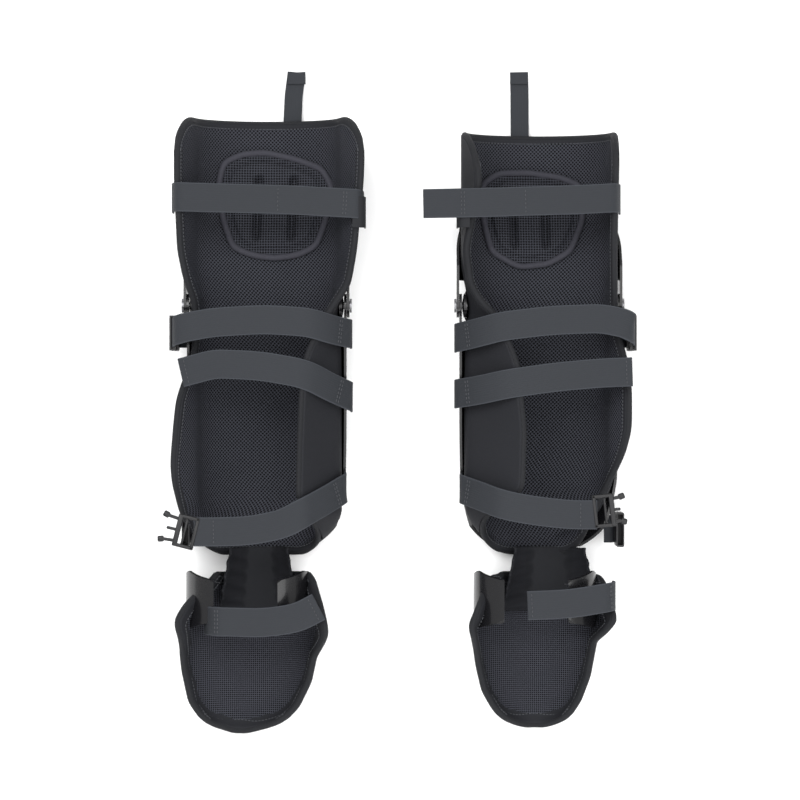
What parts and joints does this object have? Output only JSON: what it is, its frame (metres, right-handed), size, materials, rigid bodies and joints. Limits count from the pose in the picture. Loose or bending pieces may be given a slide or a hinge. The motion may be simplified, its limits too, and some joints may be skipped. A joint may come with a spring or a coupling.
{
  "type": "knee guards",
  "caption": "Mirror pair of hinged riding guards for thigh, knee, shin and instep, with hard shells, mesh lining, webbing straps and side-release buckles.",
  "frame": {"origin": "centre of the pair's footprint, on the surface the pair lies on", "axes": "+Z out of the lining, +Y towards the thigh, X across the pair"},
  "size_m": [0.475, 0.6753, 0.1109],
  "materials": {
    "shell": "glossy moulded",
    "wear_pad": "scuffed satin",
    "rivet": "blackened",
    "mesh": "spacer mesh over foam",
    "smooth_cloth": "smooth knit",
    "webbing": "woven",
    "hook_tape": "hook tape",
    "buckle": "moulded satin"
  },
  "bodies": {
    "left_shin": {"left_shin_shell": "shell", "left_shin_liner": "mesh", "left_shin_wing_inner": "smooth_cloth", "left_shin_wing_outer": "mesh", "left_knee_pad": "mesh", "left_knee_rivets": "rivet", "left_strap_rivets": "rivet", "left_upper_knee_socket": "buckle", "left_calf_socket": "buckle", "left_socket_webbing": "webbing"},
    "left_thigh": {"left_thigh_shell": "shell", "left_thigh_liner": "mesh", "left_thigh_pad": "mesh", "left_thigh_strap_tab": "hook_tape", "left_pull_tab": "webbing"},
    "left_knee_cup": {"left_knee_cup": "shell", "left_knee_wear_pad": "wear_pad"},
    "left_foot": {"left_instep_shell": "shell", "left_foot_liner": "mesh", "left_ankle_gusset": "smooth_cloth", "left_ankle_cup_outer": "shell", "left_ankle_cup_inner": "shell"},
    "left_thigh_strap": {"left_thigh_strap": "webbing"},
    "left_upper_knee_strap": {"left_upper_knee_strap": "webbing", "left_upper_knee_plug": "buckle"},
    "left_lower_knee_strap": {"left_lower_knee_strap": "webbing"},
    "left_calf_strap": {"left_calf_strap": "webbing", "left_calf_plug": "buckle"},
    "left_instep_strap": {"left_instep_strap": "webbing"},
    "right_shin": {"right_shin_shell": "shell", "right_shin_liner": "mesh", "right_shin_wing_inner": "smooth_cloth", "right_shin_wing_outer": "mesh", "right_knee_pad": "mesh", "right_knee_rivets": "rivet", "right_strap_rivets": "rivet", "right_upper_knee_socket": "buckle", "right_calf_socket": "buckle", "right_socket_webbing": "webbing"},
    "right_thigh": {"right_thigh_shell": "shell", "right_thigh_liner": "mesh", "right_thigh_pad": "mesh", "right_thigh_strap_tab": "hook_tape", "right_pull_tab": "webbing"},
    "right_knee_cup": {"right_knee_cup": "shell", "right_knee_wear_pad": "wear_pad"},
    "right_foot": {"right_instep_shell": "shell", "right_foot_liner": "mesh", "right_ankle_gusset": "smooth_cloth", "right_ankle_cup_outer": "shell", "right_ankle_cup_inner": "shell"},
    "right_thigh_strap": {"right_thigh_strap": "webbing"},
    "right_upper_knee_strap": {"right_upper_knee_strap": "webbing", "right_upper_knee_plug": "buckle"},
    "right_lower_knee_strap": {"right_lower_knee_strap": "webbing"},
    "right_calf_strap": {"right_calf_strap": "webbing", "right_calf_plug": "buckle"},
    "right_instep_strap": {"right_instep_strap": "webbing"}
  },
  "joints": [
    {"name": "left_knee_flex", "type": "hinge", "parent": "left_shin", "child": "left_thigh", "pos_m": [-0.134, 0.095, 0.06], "axis": [1, 0, 0], "range_deg": [0, 65]},
    {"name": "left_knee_cup_turn", "type": "hinge", "parent": "left_shin", "child": "left_knee_cup", "pos_m": [-0.134, 0.095, 0.06], "axis": [1, 0, 0], "range_deg": [0, 33]},
    {"name": "left_ankle_flex", "type": "hinge", "parent": "left_shin", "child": "left_foot", "pos_m": [-0.1545, -0.155, 0.014], "axis": [1, 0, 0], "range_deg": [-25, 50]},
    {"name": "left_thigh_strap_open", "type": "hinge", "parent": "left_thigh", "child": "left_thigh_strap", "pos_m": [-0.2205, 0.202, 0.05], "axis": [0, -1, 0], "range_deg": [0, 100]},
    {"name": "left_upper_knee_strap_open", "type": "hinge", "parent": "left_shin", "child": "left_upper_knee_strap", "pos_m": [-0.052, 0.067, 0.057], "axis": [0, 1, 0], "range_deg": [0, 100]},
    {"name": "left_lower_knee_strap_open", "type": "hinge", "parent": "left_shin", "child": "left_lower_knee_strap", "pos_m": [-0.052, 0.004, 0.057], "axis": [0, 1, 0], "range_deg": [0, 100]},
    {"name": "left_calf_strap_open", "type": "hinge", "parent": "left_shin", "child": "left_calf_strap", "pos_m": [-0.052, -0.092, 0.057], "axis": [0, 1, 0], "range_deg": [0, 100]},
    {"name": "left_instep_strap_open", "type": "hinge", "parent": "left_foot", "child": "left_instep_strap", "pos_m": [-0.0765, -0.206, 0.04], "axis": [0, 1, 0], "range_deg": [0, 100]},
    {"name": "right_knee_flex", "type": "hinge", "parent": "right_shin", "child": "right_thigh", "pos_m": [0.14, 0.095, 0.06], "axis": [1, 0, 0], "range_deg": [0, 65]},
    {"name": "right_knee_cup_turn", "type": "hinge", "parent": "right_shin", "child": "right_knee_cup", "pos_m": [0.14, 0.095, 0.06], "axis": [1, 0, 0], "range_deg": [0, 33]},
    {"name": "right_ankle_flex", "type": "hinge", "parent": "right_shin", "child": "right_foot", "pos_m": [0.1365, -0.155, 0.014], "axis": [1, 0, 0], "range_deg": [-25, 50]},
    {"name": "right_thigh_strap_open", "type": "hinge", "parent": "right_thigh", "child": "right_thigh_strap", "pos_m": [0.2265, 0.202, 0.05], "axis": [0, 1, 0], "range_deg": [0, 100]},
    {"name": "right_upper_knee_strap_open", "type": "hinge", "parent": "right_shin", "child": "right_upper_knee_strap", "pos_m": [0.058, 0.067, 0.057], "axis": [0, -1, 0], "range_deg": [0, 100]},
    {"name": "right_lower_knee_strap_open", "type": "hinge", "parent": "right_shin", "child": "right_lower_knee_strap", "pos_m": [0.058, 0.004, 0.057], "axis": [0, -1, 0], "range_deg": [0, 100]},
    {"name": "right_calf_strap_open", "type": "hinge", "parent": "right_shin", "child": "right_calf_strap", "pos_m": [0.058, -0.092, 0.057], "axis": [0, -1, 0], "range_deg": [0, 100]},
    {"name": "right_instep_strap_open", "type": "hinge", "parent": "right_foot", "child": "right_instep_strap", "pos_m": [0.2145, -0.206, 0.04], "axis": [0, 1, 0], "range_deg": [0, 100]},
    {"name": "pair_spacing", "type": "slide", "parent": "left_shin", "child": "right_shin", "axis": [1, 0, 0], "range_m": [0, 0.15]}
  ],
  "couplings": [
    {"joint": "left_knee_cup_turn", "follows": "left_knee_flex", "ratio": 0.5},
    {"joint": "right_knee_cup_turn", "follows": "right_knee_flex", "ratio": 0.5}
  ]
}
